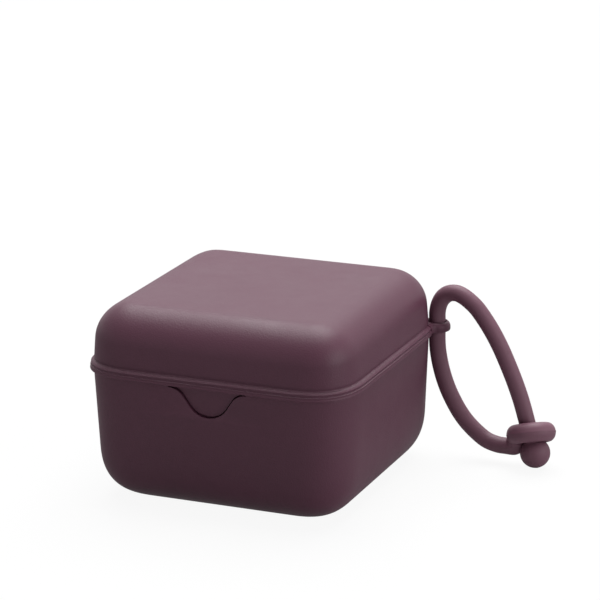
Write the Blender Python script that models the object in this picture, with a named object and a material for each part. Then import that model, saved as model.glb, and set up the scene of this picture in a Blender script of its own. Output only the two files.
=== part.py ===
"""Pacifier box: a moulded tub and a domed lid on a rear pin hinge, closed by a press tongue,
with a silicone carrying strap through an eyelet on the lid's rear right corner.

The parting line runs level round the box. X is across the front, the front faces -Y,
the hinge is at +Y, and the tub stands on Z = 0."""

import math

import bmesh
import bpy
from mathutils import Matrix, Vector

mm = 0.001

# Whole box
box_width = 90.0 * mm            # across two walls at the parting line, the same both ways
box_height = 64.3 * mm           # floor to the top of the lid, without its crown
base_share = 0.6563              # the tub's rim, as a share of the box's height
wall = 1.8 * mm                  # both mouldings
seat_gap = 0.3 * mm              # between faces that touch on the real box
run_gap = 0.3 * mm               # round a pin, a cord or a sliding lip
cut_over = 1.0 * mm              # how far a cutter runs past the face that it opens

# Plan of the walls: a square with soft corners
corner_radius = 20.6 * mm
corner_power = 2.9               # 2 is a circular corner, more is squarer
corner_steps = 12

# Tub
base_draft = 1.84 * mm           # each wall leans in by this over the tub's height
base_round_in = 15.2 * mm        # the rounding below the walls, measured inwards
base_round_up = 16.9 * mm        # and upwards
base_round_power = 2.5
base_corner_follow = 0.9         # how much of an inset the plan corner loses
base_lip_round = 0.35 * mm
round_steps = 8

# Lid
lid_draft = 0.92 * mm
lid_draft_curve = 1.2 * mm       # more lean towards the top
lid_round_in = 11.1 * mm
lid_round_up = 11.0 * mm
lid_round_power = 2.0
lid_corner_follow = 1.45
lid_crown = 0.5 * mm             # the top is very slightly domed
crown_inset = 20.0 * mm

# Rim of the lid, from the parting line up: a band that overhangs the seam, a valley and a rolled bead
band_height = 1.95 * mm
band_proud = 1.25 * mm
band_foot_round = 0.6 * mm       # below, where the band overhangs the tub's rim
band_round = 0.15 * mm           # its top edge
valley_height = 2.2 * mm
valley_proud = 0.78 * mm
bead_height = 3.7 * mm           # top of the bead above the parting line
bead_proud = 1.08 * mm
bead_root_rise = 0.3 * mm        # from the bead's top up to the clean wall
bead_steps = 6

# Lip of the lid, which drops inside the tub's wall
lip_depth = 2.9 * mm
lip_wall = 1.2 * mm
lip_lead_in = 0.25 * mm
lip_root_rise = 1.0 * mm         # height of the lip's root above the parting line
lip_root_slope = 1.5 * mm
lip_rear_end = 13.0 * mm         # the lip stops this far short of the rear wall, for the lid's swing

# Press tongue in the front wall, outlined by a bell: a round foot and two flared shoulders
tongue_half_span = 13.3 * mm     # where the shoulders run out along the parting line
tongue_depth = 8.7 * mm          # from the parting line to the foot of the bell
tongue_foot_radius = 7.6 * mm
tongue_shoulder_radius = 6.0 * mm
tongue_slit = 0.45 * mm          # the open line round the tongue
tongue_recess = 0.8 * mm         # the tongue's face lies behind the wall's face
tongue_thickness = 1.5 * mm
bell_steps = 8

# Snap: a nose on a leg behind the tongue, under a ridge inside the tub's wall
leg_half_width = 4.5 * mm
leg_drop = 2.8 * mm              # the leg reaches this far below the bell's foot
leg_rise = 2.6 * mm              # and overlaps the tongue this far above it
leg_thickness = 1.1 * mm
leg_clear = 0.75 * mm            # between the leg and the tub's wall
leg_bond = 0.2 * mm              # the leg and the tongue's back grow into each other
nose_out = 0.2 * mm
nose_height = 0.9 * mm
ridge_out = 0.3 * mm
ridge_height = 0.7 * mm
ridge_below_slit = 0.5 * mm

# Hinge on the rear wall
hinge_drop = 4.2 * mm            # the pin lies this far below the lid's parting face
knuckle_radius = 2.2 * mm
pin_radius = 1.0 * mm
lid_knuckle_width = 24.0 * mm
base_knuckle_width = 6.0 * mm
base_web_drop = 3.6 * mm         # the web under each tub knuckle, below the pin
lid_web_rise = 1.9 * mm          # the lid's web, above its parting face
knuckle_steps = 32

# Eyelet on the lid's rear right corner
eyelet_out = 0.3 * mm            # the hole's axis lies this far outside the side wall's plane
eyelet_in = 5.8 * mm             # and this far in front of the rear wall's
eyelet_radius = 4.3 * mm
eyelet_flare = 2.0 * mm          # radius of the hollows where the lug runs out into the rim
eyelet_bite = 0.1 * mm           # the hollows reach this far into the band
eyelet_root = 7.0 * mm           # how far the lug runs back into the lid's corner
eyelet_height = 3.75 * mm
eyelet_foot_round = 0.45 * mm
eyelet_top_round = 1.7 * mm
eyelet_steps = 24
flare_turn = math.radians(75.0)
flare_steps = 6
round_over_steps = 4
search_steps = 400

# Strap: one silicone cord with a ring at one end and a ball at the other
cord_radius = 2.75 * mm
strap_heading = math.radians(-3.7)
ball_radius = 5.0 * mm
ring_outer_radius = 7.9 * mm
ring_height = 4.3 * mm
ring_above_ball = 6.7 * mm       # from the ball's centre to the ring's, along the cord
ring_steps = 32
ring_section_steps = 12
ball_steps = 24
samples_per_span = 2

# The strap's route in its own upright plane: reach from the eyelet's axis and height, in mm
ring_neck_route = [(24.7, 6.0), (26.1, 6.05), (27.1, 6.2), (27.9, 6.55)]
cord_route = [
    (24.4, 6.0), (21.8, 6.05), (18.0, 7.0), (14.5, 9.2), (11.0, 12.2), (8.2, 15.5), (5.8, 19.3),
    (3.8, 23.2), (2.2, 27.4), (1.0, 31.8), (0.25, 36.0), (0.0, 39.5), (0.0, 42.5), (0.0, 46.5),
    (0.0, 49.0), (0.6, 51.8), (1.9, 54.2), (4.0, 55.9), (6.6, 56.4), (8.9, 55.8), (11.6, 54.2),
    (14.7, 51.5), (18.9, 46.0), (22.4, 40.2), (25.3, 34.3), (27.9, 28.4), (30.2, 22.3), (32.0, 16.4),
]
ball_place = (35.3, 5.1)

# Values that follow
half_width = box_width / 2
base_height = box_height * base_share
eyelet_x = half_width + eyelet_out
eyelet_y = half_width - eyelet_in
lid_foot = base_height + seat_gap
lid_rise = box_height - lid_foot
bore_radius = pin_radius + run_gap
hinge_z = lid_foot - hinge_drop
hinge_y = half_width + knuckle_radius + seat_gap
slit_z = base_height - tongue_depth
eyelet_bore = cord_radius + run_gap
ring_bore = cord_radius + run_gap
colour_shell = (0.105, 0.052, 0.066, 1.0)
colour_strap = (0.115, 0.058, 0.072, 1.0)
roughness_shell = 0.48
roughness_strap = 0.55


def clear_scene():
    for old in list(bpy.data.objects):
        bpy.data.objects.remove(old, do_unlink=True)


def new_collection(name):
    group = bpy.data.collections.new(name)
    bpy.context.scene.collection.children.link(group)
    return group


def material(name, colour, roughness):
    made = bpy.data.materials.new(name)
    made.use_nodes = True
    shader = made.node_tree.nodes["Principled BSDF"]
    shader.inputs["Base Color"].default_value = colour
    shader.inputs["Roughness"].default_value = roughness
    shader.inputs["Metallic"].default_value = 0.0
    return made


def object_from_bmesh(name, bm, group):
    bmesh.ops.recalc_face_normals(bm, faces=bm.faces)
    mesh = bpy.data.meshes.new(name)
    bm.to_mesh(mesh)
    bm.free()
    made = bpy.data.objects.new(name, mesh)
    group.objects.link(made)
    return made


def as_cutter(obj):
    obj.hide_render = True
    obj.display_type = "WIRE"
    return obj


def combine(target, tool, operation):
    step = target.modifiers.new(f"{operation.lower()} {tool.name}", "BOOLEAN")
    step.operation = operation
    step.solver = "EXACT"
    step.object = as_cutter(tool)


# Plan sections and lofts

def corner_point(angle, inset, follow):
    """A point of the rear right corner, from 0 on the side wall to a quarter turn on the rear wall."""
    half = half_width - inset
    corner = max(corner_radius - inset * follow, cut_over)
    power = 2 / corner_power
    return Vector((half - corner + corner * math.cos(angle) ** power,
                   half - corner + corner * math.sin(angle) ** power))


def section(inset, z, follow):
    """Points of the soft-cornered square, drawn in by inset, at height z."""
    points = []
    for quarter in range(4):
        turn = Matrix.Rotation(quarter * math.pi / 2, 3, "Z")
        for step in range(corner_steps + 1):
            point = corner_point(math.pi / 2 * step / corner_steps, inset, follow)
            points.append(turn @ Vector((*point, 0)) + Vector((0, 0, z)))
    return points


def loft(name, profile, follow, group, tip=None):
    """A closed solid through one section for each (inset, z) of the profile, from low to high."""
    return skin(name, [section(inset, z, follow) for inset, z in profile], group, tip)


def skin(name, outlines, group, tip=None):
    """A closed solid through outlines with the same number of points, from low to high."""
    bm = bmesh.new()
    rings = [[bm.verts.new(p) for p in outline] for outline in outlines]
    count = len(rings[0])
    for low, high in zip(rings, rings[1:]):
        for i in range(count):
            j = (i + 1) % count
            bm.faces.new((low[i], low[j], high[j], high[i]))
    bm.faces.new(reversed(rings[0]))
    if tip is None:
        bm.faces.new(rings[-1])
    else:
        peak = bm.verts.new((0, 0, tip))
        for i in range(count):
            bm.faces.new((rings[-1][i], rings[-1][(i + 1) % count], peak))
    return object_from_bmesh(name, bm, group)


def rounding(share, power):
    """How far in a rounded edge has come, 0 to 1, at a share of its height."""
    share = min(max(share, 0), 1)
    return 1 - (1 - share ** power) ** (1 / power)


def base_inset(z):
    return base_draft * (base_height - z) / base_height


def base_profile(skin, floor):
    """The tub's wall line, skin inside its outer face, rounded off down to the floor height."""
    inward = base_round_in - skin
    upward = base_round_up - floor
    line = []
    for step in range(round_steps + 1):
        z = floor + upward * (1 - math.cos(math.pi / 2 * step / round_steps))
        share = (floor + upward - z) / upward
        line.append((skin + base_inset(z) + inward * rounding(share, base_round_power), z))
    return line


def lid_inset(z):
    share = (z - lid_foot) / lid_rise
    return lid_draft * share + lid_draft_curve * share ** 2


def lid_profile(skin, foot):
    """The lid's wall line from height foot up, skin inside its outer face."""
    inward = lid_round_in - skin
    upward = lid_round_up - skin
    top = box_height - skin
    line = [(skin + lid_inset(foot), foot)]
    for step in range(round_steps + 1):
        z = top - upward * (1 - math.sin(math.pi / 2 * step / round_steps))
        share = (z - (top - upward)) / upward
        line.append((skin + lid_inset(z) + inward * rounding(share, lid_round_power), z))
    return line


def rim_profile():
    """The band, valley and bead round the lid's foot, as insets (negative is proud)."""
    line = [(band_foot_round - band_proud, lid_foot), (-band_proud, lid_foot + band_foot_round)]
    line.append((-band_proud, lid_foot + band_height - band_round))
    line.append((-valley_proud, lid_foot + valley_height))
    half_roll = (bead_height - valley_height) / 2
    middle = lid_foot + valley_height + half_roll
    rise = bead_proud - valley_proud
    for step in range(1, bead_steps):
        angle = math.pi * step / bead_steps - math.pi / 2
        out = valley_proud + rise * math.cos(angle)
        line.append((-out, middle + half_roll * math.sin(angle)))
    top = lid_foot + bead_height
    line.append((bead_root_rise - valley_proud, top))
    line.append((lid_inset(top + bead_root_rise), top + bead_root_rise))
    return line


# Flat outlines pushed through along one axis

def plate(name, outline, start, end, axis, group):
    """Extrudes an outline along X or Y. The outline is in (y, z) along X and in (x, z) along Y."""
    bm = bmesh.new()
    if axis == "X":
        corners = [bm.verts.new((start, a, b)) for a, b in outline]
        push = Vector((end - start, 0, 0))
    else:
        corners = [bm.verts.new((a, start, b)) for a, b in outline]
        push = Vector((0, end - start, 0))
    face = bm.faces.new(corners)
    grown = bmesh.ops.extrude_face_region(bm, geom=[face], use_keep_orig=True)
    moved = [v for v in grown["geom"] if isinstance(v, bmesh.types.BMVert)]
    bmesh.ops.translate(bm, verts=moved, vec=push)
    return object_from_bmesh(name, bm, group)


def block(name, low, high, group):
    bm = bmesh.new()
    bmesh.ops.create_cube(bm, size=1.0)
    size = Vector(high) - Vector(low)
    bmesh.ops.scale(bm, vec=size, verts=bm.verts)
    bmesh.ops.translate(bm, vec=(Vector(low) + Vector(high)) / 2, verts=bm.verts)
    return object_from_bmesh(name, bm, group)


def rod(name, radius, length, place, turn, steps, group):
    bm = bmesh.new()
    bmesh.ops.create_cone(bm, cap_ends=True, segments=steps, radius1=radius, radius2=radius,
                          depth=length, matrix=Matrix.Translation(place) @ turn)
    return object_from_bmesh(name, bm, group)


def sphere(name, radius, place, group):
    bm = bmesh.new()
    bmesh.ops.create_uvsphere(bm, u_segments=ball_steps, v_segments=ball_steps // 2, radius=radius,
                              matrix=Matrix.Translation(place))
    return object_from_bmesh(name, bm, group)


def rod_across(name, radius, start, end, group):
    """A round bar on the hinge line, from X = start to X = end."""
    place = Vector(((start + end) / 2, hinge_y, hinge_z))
    return rod(name, radius, end - start, place, Matrix.Rotation(math.pi / 2, 4, "Y"),
               knuckle_steps, group)


def bell(offset, top):
    """Half the slit's bell outline and its mirror image, moved out by offset, closed at height top."""
    foot = Vector((0, slit_z + tongue_foot_radius))
    shoulder = Vector((tongue_half_span, lid_foot - tongue_shoulder_radius))
    foot_radius = tongue_foot_radius + offset
    shoulder_radius = tongue_shoulder_radius - offset
    between = shoulder - foot
    lean = math.atan2(between.y, between.x)
    swing = math.acos((foot_radius + shoulder_radius) / between.length)
    leave = lean - swing
    arc = []
    for step in range(bell_steps + 1):
        angle = -math.pi / 2 + (leave + math.pi / 2) * step / bell_steps
        arc.append(foot + foot_radius * Vector((math.cos(angle), math.sin(angle))))
    reach = min((top - shoulder.y) / shoulder_radius, 1.0)
    finish = math.pi - math.asin(reach)
    begin = leave + math.pi
    for step in range(bell_steps + 1):
        angle = begin + (finish - begin) * step / bell_steps
        arc.append(shoulder + shoulder_radius * Vector((math.cos(angle), math.sin(angle))))
    mirrored = [Vector((-p.x, p.y)) for p in reversed(arc[1:])]
    return [tuple(p) for p in mirrored + arc]


# The strap

def route_points(route):
    """A smooth curve through the route, as points in its upright plane."""
    ends = [route[0]] + list(route) + [route[-1]]
    line = []
    for before, start, end, after in zip(ends, ends[1:], ends[2:], ends[3:]):
        for step in range(samples_per_span):
            t = step / samples_per_span
            point = []
            for a, b, c, d in zip(before, start, end, after):
                point.append(0.5 * (2 * b + (c - a) * t + (2 * a - 5 * b + 4 * c - d) * t ** 2
                                    + (3 * b - a - 3 * c + d) * t ** 3))
            line.append(tuple(point))
    line.append(route[-1])
    return line


def strap_point(reach, height):
    """World place of a point in the strap's plane, given in mm."""
    along = Vector((math.cos(strap_heading), math.sin(strap_heading), 0))
    return Vector((eyelet_x, eyelet_y, 0)) + along * reach * mm + Vector((0, 0, height * mm))


def tube(name, points, radius, group):
    curve = bpy.data.curves.new(name, "CURVE")
    curve.dimensions = "3D"
    curve.bevel_depth = radius
    curve.bevel_resolution = 3
    curve.use_fill_caps = True
    spline = curve.splines.new("POLY")
    spline.points.add(len(points) - 1)
    for slot, point in zip(spline.points, points):
        slot.co = (*point, 1)
    made = bpy.data.objects.new(name, curve)
    group.objects.link(made)
    return made


def curve_to_mesh(obj, group):
    name = obj.name
    bpy.context.view_layer.update()
    shape = obj.evaluated_get(bpy.context.evaluated_depsgraph_get())
    mesh = bpy.data.meshes.new_from_object(shape)
    place = obj.matrix_world.copy()
    bpy.data.objects.remove(obj, do_unlink=True)
    bm = bmesh.new()
    bm.from_mesh(mesh)
    bmesh.ops.remove_doubles(bm, verts=bm.verts, dist=seat_gap / 100)
    made = object_from_bmesh(name, bm, group)
    made.matrix_world = place
    return made


# Pieces

def make_base(parts, cutters):
    outer = base_profile(0, 0)
    outer.append((base_inset(base_height - base_lip_round), base_height - base_lip_round))
    outer.append((base_lip_round, base_height))
    tub = loft("base_tub", outer, base_corner_follow, parts)

    wall_edge = half_width - base_inset(hinge_z)
    knuckle_start = lid_knuckle_width / 2 + run_gap
    knuckle_end = knuckle_start + base_knuckle_width
    low_z = hinge_z - base_web_drop
    root_y = half_width - base_inset(low_z) - wall / 2
    for side in (-1, 1):
        ends = sorted((side * knuckle_start, side * knuckle_end))
        label = "left" if side < 0 else "right"
        web = [(root_y, hinge_z + knuckle_radius / 2), (root_y, low_z), (wall_edge, low_z),
               (hinge_y + knuckle_radius, hinge_z - knuckle_radius / 4), (hinge_y, hinge_z),
               (wall_edge, hinge_z + knuckle_radius / 2)]
        combine(tub, plate(f"{label} tub web", web, ends[0], ends[1], "X", cutters), "UNION")
        combine(tub, rod_across(f"{label} tub knuckle", knuckle_radius, *ends, cutters), "UNION")

    inner = base_profile(wall, wall)
    inner.append((wall + base_inset(base_height), base_height))
    inner.append((wall, base_height + cut_over))
    combine(tub, loft("tub cavity", inner, base_corner_follow, cutters), "DIFFERENCE")

    wall_back = base_inset(slit_z) - half_width + wall
    ridge_top = slit_z - tongue_slit / 2 - ridge_below_slit
    ridge = [(wall_back - wall / 2, ridge_top - ridge_height), (wall_back, ridge_top - ridge_height),
             (wall_back + ridge_out, ridge_top - ridge_height / 2), (wall_back, ridge_top),
             (wall_back - wall / 2, ridge_top)]
    combine(tub, plate("snap ridge", ridge, -leg_half_width, leg_half_width, "X", cutters), "UNION")

    notch = bell(tongue_slit / 2, base_height + cut_over)
    front = -half_width - cut_over
    behind = -half_width + 2 * wall + cut_over
    combine(tub, plate("tongue notch", notch, front, behind, "Y", cutters), "DIFFERENCE")

    reach = knuckle_end + cut_over
    combine(tub, rod_across("tub pin bore", bore_radius, -reach, reach, cutters), "DIFFERENCE")
    return tub


def arc(centre, radius, start, finish, steps):
    """Points of an arc in the plan, from the angle start to finish."""
    line = []
    for step in range(steps + 1):
        angle = start + (finish - start) * step / steps
        line.append(centre + radius * Vector((math.cos(angle), math.sin(angle))))
    return line


def heading(start, finish):
    return math.atan2(finish.y - start.y, finish.x - start.x)


def flare_centres(hub):
    """Centres of the two hollows that touch the lug's round end and the band of the rim."""
    offset = eyelet_bite - band_proud - eyelet_flare
    angles = [math.pi / 2 * step / search_steps for step in range(search_steps + 1)]
    line = [corner_point(angle, offset, lid_corner_follow) for angle in angles]
    near = min(range(len(line)), key=lambda i: (line[i] - hub).length)

    def miss(point):
        return abs((point - hub).length - eyelet_radius - eyelet_flare)

    return min(line[:near], key=miss), min(line[near + 1:], key=miss)


def make_eyelet(cutters):
    """The lug's solid: a round end that flares back into the rim, with rounded edges."""
    hub = Vector((eyelet_x, eyelet_y))
    front, rear = flare_centres(hub)
    profile = []
    for step in range(round_over_steps + 1):
        angle = math.pi / 2 * step / round_over_steps
        profile.append((eyelet_foot_round * (1 - math.sin(angle)), eyelet_foot_round * (1 - math.cos(angle))))
    for step in range(round_over_steps + 1):
        angle = math.pi / 2 * step / round_over_steps
        profile.append((eyelet_top_round * (1 - math.cos(angle)),
                        eyelet_height - eyelet_top_round * (1 - math.sin(angle))))
    outlines = []
    for inset, z in profile:
        flare = eyelet_flare + inset
        out_of_front = heading(front, hub)
        out_of_rear = heading(rear, hub)
        outline = [Vector((half_width - eyelet_root, eyelet_y - eyelet_root))]
        outline += arc(front, flare, out_of_front + flare_turn, out_of_front, flare_steps)
        outline += arc(hub, eyelet_radius - inset, heading(hub, front), heading(hub, rear), eyelet_steps)[1:-1]
        outline += arc(rear, flare, out_of_rear, out_of_rear - flare_turn, flare_steps)
        outlines.append([(*point, lid_foot + z) for point in outline])
    return skin("eyelet lug", outlines, cutters)


def make_lid(parts, cutters):
    outer = rim_profile()
    outer += lid_profile(0, lid_foot + bead_height + 2 * bead_root_rise)
    last_inset, last_z = outer[-1]
    outer.append((last_inset + crown_inset, box_height + lid_crown * 0.8))
    lid = loft("lid_shell", outer, lid_corner_follow, parts, tip=box_height + lid_crown)

    combine(lid, make_eyelet(cutters), "UNION")

    lip_out = wall + run_gap
    lip_foot = lid_foot - lip_depth
    lip_lean = lip_out + base_inset(lip_foot)
    lip = [(lip_lean + lip_lead_in, lip_foot), (lip_lean, lip_foot + lip_lead_in),
           (lip_out, lid_foot), (lip_out, lid_foot + lip_root_rise)]
    combine(lid, loft("lid lip", lip, base_corner_follow, cutters), "UNION")

    half_knuckle = lid_knuckle_width / 2
    web_top = lid_foot + lid_web_rise
    web_back = half_width + seat_gap
    web = [(half_width - wall / 2, web_top), (half_width - wall / 2, lid_foot),
           (web_back, lid_foot), (web_back, hinge_z), (hinge_y, hinge_z),
           (hinge_y + knuckle_radius, hinge_z), (hinge_y + knuckle_radius * 0.9, lid_foot),
           (half_width + bead_proud, lid_foot + bead_height - bead_root_rise)]
    combine(lid, plate("lid web", web, -half_knuckle, half_knuckle, "X", cutters), "UNION")
    combine(lid, rod_across("lid knuckle", knuckle_radius, -half_knuckle, half_knuckle, cutters), "UNION")

    lip_in = lip_out + lip_wall
    root = lid_foot + lip_root_rise
    inner = [(lip_in + lip_lead_in, lip_foot - cut_over), (lip_in, root)]
    inner += lid_profile(wall, root + lip_root_slope)
    combine(lid, loft("lid cavity", inner, lid_corner_follow, cutters), "DIFFERENCE")

    span = tongue_half_span + run_gap
    front = -half_width + wall
    room = block("room behind tongue", (-span, front - run_gap, lip_foot - cut_over),
                 (span, front + lip_wall + wall, lid_foot), cutters)
    combine(lid, room, "DIFFERENCE")
    swing = block("room for the swing", (-half_width, half_width - lip_rear_end, lip_foot - cut_over),
                  (half_width, half_width, lid_foot), cutters)
    combine(lid, swing, "DIFFERENCE")

    reach = half_knuckle + cut_over
    combine(lid, rod_across("lid pin bore", bore_radius, -reach, reach, cutters), "DIFFERENCE")

    place = Vector((eyelet_x, eyelet_y, lid_foot + eyelet_height / 2))
    hole = rod("cord hole", eyelet_bore, eyelet_height + 2 * cut_over, place, Matrix.Identity(4),
               knuckle_steps, cutters)
    combine(lid, hole, "DIFFERENCE")
    return lid


def make_tongue(parts, cutters):
    """A slice of the front wall's own shape, cut to the bell, with the snap's leg behind it."""
    shape = bell(-tongue_slit / 2, base_height)
    low_z = slit_z - cut_over
    high_z = base_height
    tongue = plate("latch_tongue", shape, -half_width - cut_over, 0, "Y", parts)
    skins = {}
    for label, skin in (("face", tongue_recess), ("back", tongue_recess + tongue_thickness)):
        line = [(skin + base_inset(z), z) for z in (low_z, high_z + cut_over)]
        skins[label] = loft(f"tongue {label}", line, base_corner_follow, cutters)
    combine(tongue, skins["face"], "INTERSECT")
    combine(tongue, skins["back"], "DIFFERENCE")

    wall_back = base_inset(slit_z) - half_width + wall
    leg_face = wall_back + leg_clear
    leg_top = slit_z + leg_rise
    leg_foot = slit_z - leg_drop
    tongue_back = base_inset(leg_top) - half_width + tongue_recess + tongue_thickness
    leg = [(tongue_back - leg_bond, leg_top), (tongue_back - leg_bond, slit_z + tongue_slit),
           (leg_face, slit_z - seat_gap), (leg_face, leg_foot + nose_height),
           (leg_face - nose_out, leg_foot + nose_height / 2), (leg_face, leg_foot),
           (leg_face + leg_thickness, leg_foot), (leg_face + leg_thickness, leg_top)]
    combine(tongue, plate("snap leg", leg, -leg_half_width, leg_half_width, "X", cutters), "UNION")
    return tongue


def make_pin(parts):
    reach = lid_knuckle_width / 2 + run_gap + base_knuckle_width
    return rod_across("hinge_pin", pin_radius, -reach, reach, parts)


def strap_frame():
    """Where the ball is, and the cord's direction as it comes down to it through the ring."""
    ball = strap_point(*ball_place)
    before = strap_point(*cord_route[-1])
    return ball, (ball - before).normalized()


def make_strap(parts, cutters):
    ball_centre, down = strap_frame()
    neck = math.sqrt(ball_radius ** 2 - cord_radius ** 2)
    tilt = down.to_track_quat("-Z", "Y").to_matrix().to_4x4()

    line = [strap_point(*p) for p in route_points(cord_route)]
    line.append(ball_centre - down * (neck + seat_gap))
    cord = tube("strap_cord", line, cord_radius, parts)

    section_radius = (ring_outer_radius - ring_bore) / 2
    bpy.ops.mesh.primitive_torus_add(major_radius=ring_bore + section_radius,
                                     minor_radius=section_radius, major_segments=ring_steps,
                                     minor_segments=ring_section_steps)
    ring = bpy.context.object
    ring.name = "strap_ring"
    ring.data.name = "strap_ring"
    bpy.context.collection.objects.unlink(ring)
    parts.objects.link(ring)
    flatten = Matrix.Diagonal((1, 1, ring_height / (2 * section_radius), 1))
    ring_centre = ball_centre - down * ring_above_ball
    ring.data.transform(Matrix.Translation(ring_centre) @ tilt @ flatten)
    stub = [strap_point(*p) for p in ring_neck_route]
    combine(ring, curve_to_mesh(tube("ring neck", stub, cord_radius, cutters), cutters), "UNION")
    combine(ring, sphere("ring neck end", cord_radius, stub[-1], cutters), "UNION")
    passage = rod("ring bore", ring_bore, ring_height + 2 * cut_over, ring_centre, tilt,
                  knuckle_steps, cutters)
    combine(ring, passage, "DIFFERENCE")
    combine(ring, sphere("ball seat", ball_radius + seat_gap, ball_centre, cutters), "DIFFERENCE")

    bm = bmesh.new()
    bmesh.ops.create_uvsphere(bm, u_segments=ball_steps, v_segments=ball_steps // 2, radius=ball_radius)
    cut = bmesh.ops.bisect_plane(bm, geom=bm.verts[:] + bm.edges[:] + bm.faces[:],
                                 plane_co=(0, 0, neck), plane_no=(0, 0, 1), clear_outer=True)
    bmesh.ops.contextual_create(bm, geom=[e for e in cut["geom_cut"] if isinstance(e, bmesh.types.BMEdge)])
    bmesh.ops.transform(bm, matrix=Matrix.Translation(ball_centre) @ tilt, verts=bm.verts)
    ball = object_from_bmesh("strap_ball", bm, parts)
    return cord, ring, ball


def finish(obj, look):
    data = obj.data
    data.materials.clear()
    data.materials.append(look)
    if obj.type == "MESH":
        data.shade_smooth()
        data.set_sharp_from_angle(angle=math.radians(35))


def hang_on(obj, pivot):
    obj.parent = pivot
    obj.matrix_parent_inverse = Matrix.Translation(pivot.location).inverted()


def pivot_at(name, point, group):
    pivot = bpy.data.objects.new(name, None)
    pivot.location = point
    pivot.empty_display_size = knuckle_radius
    group.objects.link(pivot)
    return pivot


def build():
    clear_scene()
    parts = new_collection("pacifier box")
    cutters = new_collection("cutters")

    tub = make_base(parts, cutters)
    lid = make_lid(parts, cutters)
    tongue = make_tongue(parts, cutters)
    pin = make_pin(parts)
    cord, ring, ball = make_strap(parts, cutters)

    shell_look = material("plum plastic", colour_shell, roughness_shell)
    strap_look = material("plum silicone", colour_strap, roughness_strap)
    for obj in (tub, lid, tongue, pin):
        finish(obj, shell_look)
    for obj in (cord, ring, ball):
        finish(obj, strap_look)

    lid_pivot = pivot_at("lid pivot", Vector((0, hinge_y, hinge_z)), parts)
    tongue_mid = -half_width + tongue_recess + tongue_thickness / 2
    tongue_pivot = pivot_at("tongue pivot", Vector((0, tongue_mid, base_height)), parts)
    strap_pivot = pivot_at("strap pivot", Vector((eyelet_x, eyelet_y, lid_foot)), parts)
    bpy.context.view_layer.update()
    hang_on(lid, lid_pivot)
    hang_on(tongue, tongue_pivot)
    for obj in (cord, ring, ball):
        hang_on(obj, strap_pivot)


build()
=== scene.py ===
import bmesh
import bpy
import math
from mathutils import Matrix, Vector


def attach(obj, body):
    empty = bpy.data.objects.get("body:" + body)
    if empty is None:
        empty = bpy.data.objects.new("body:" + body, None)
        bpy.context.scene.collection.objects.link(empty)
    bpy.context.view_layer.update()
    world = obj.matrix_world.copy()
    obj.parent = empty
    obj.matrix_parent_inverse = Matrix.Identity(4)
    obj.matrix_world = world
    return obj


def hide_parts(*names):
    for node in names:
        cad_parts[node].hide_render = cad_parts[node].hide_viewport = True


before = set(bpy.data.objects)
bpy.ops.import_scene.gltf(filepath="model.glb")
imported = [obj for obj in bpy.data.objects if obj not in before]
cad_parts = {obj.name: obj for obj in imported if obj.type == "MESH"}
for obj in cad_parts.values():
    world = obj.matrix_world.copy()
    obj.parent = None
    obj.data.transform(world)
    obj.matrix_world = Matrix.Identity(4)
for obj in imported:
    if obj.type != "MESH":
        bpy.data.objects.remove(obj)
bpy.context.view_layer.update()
mm = 0.001
print("frame loaded:", ", ".join(sorted(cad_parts)))

# The camera stands where the photograph's camera stood
photoCamera = {
    "yaw": 23.063,                    # degrees round from the front, towards the right
    "pitch": 16.812,                  # degrees above level
    "roll": -0.627,
    "distance": 936.59,               # mm from the aim point
    "aim": (11.43, 3.11, 59.72),
    "lens": 174.34,                   # mm on a 36 mm sensor
}


def placeCamera(v):
    yaw, pitch, roll = (math.radians(v[k]) for k in ("yaw", "pitch", "roll"))
    back = Vector((math.sin(yaw) * math.cos(pitch), -math.cos(yaw) * math.cos(pitch), math.sin(pitch)))
    level = (-back).cross(Vector((0, 0, 1))).normalized()
    upright = level.cross(-back)
    across = level * math.cos(roll) + upright * math.sin(roll)
    up = upright * math.cos(roll) - level * math.sin(roll)
    lens = bpy.data.cameras.new("photoCamera")
    lens.lens = v["lens"]
    lens.sensor_width = 36
    lens.clip_start = 0.01
    camera = bpy.data.objects.new("photoCamera", lens)
    bpy.context.scene.collection.objects.link(camera)
    turn = Matrix((across, up, back)).transposed().to_4x4()
    camera.matrix_world = Matrix.Translation((Vector(v["aim"]) + back * v["distance"]) * mm) @ turn
    bpy.context.scene.camera = camera


placeCamera(photoCamera)
print("camera placed")


# Blocks that the node trees are built from

def newTree(name, inputs):
    tree = bpy.data.node_groups.new(name, "GeometryNodeTree")
    for label, kind in inputs:
        tree.interface.new_socket(name=label, in_out="INPUT", socket_type=kind)
    tree.interface.new_socket(name="Geometry", in_out="OUTPUT", socket_type="NodeSocketGeometry")
    return tree, tree.nodes.new("NodeGroupInput").outputs, tree.nodes.new("NodeGroupOutput")


def feed(tree, socket, value):
    if isinstance(value, bpy.types.NodeSocket):
        tree.links.new(value, socket)
    elif value is not None:
        socket.default_value = value


def live(sockets, label):                            # the socket of that name that is in use
    return [s for s in sockets if s.name == label and s.enabled][0]


def maths(tree, operation, *values):
    made = tree.nodes.new("ShaderNodeMath")
    made.operation = operation
    for socket, value in zip(made.inputs, values):
        feed(tree, socket, value)
    return made.outputs[0]


def labelOf(name):                                   # profileCurve gives Profile Curve, as sockets are labelled
    return name[0].upper() + "".join(" " + c if c.isupper() else c for c in name[1:])


def node(tree, kind, output, **values):              # a new node, its inputs set by name; gives one output
    made = tree.nodes.new(kind)
    for name, value in values.items():
        feed(tree, live(made.inputs, labelOf(name)), value)
    return live(made.outputs, output)


def endTree(tree, geometry, finish, result):
    real = node(tree, "GeometryNodeRealizeInstances", "Geometry", geometry=geometry)
    coated = node(tree, "GeometryNodeSetMaterial", "Geometry", geometry=real, material=finish)
    tree.links.new(coated, result.inputs[0])
    return tree


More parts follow.
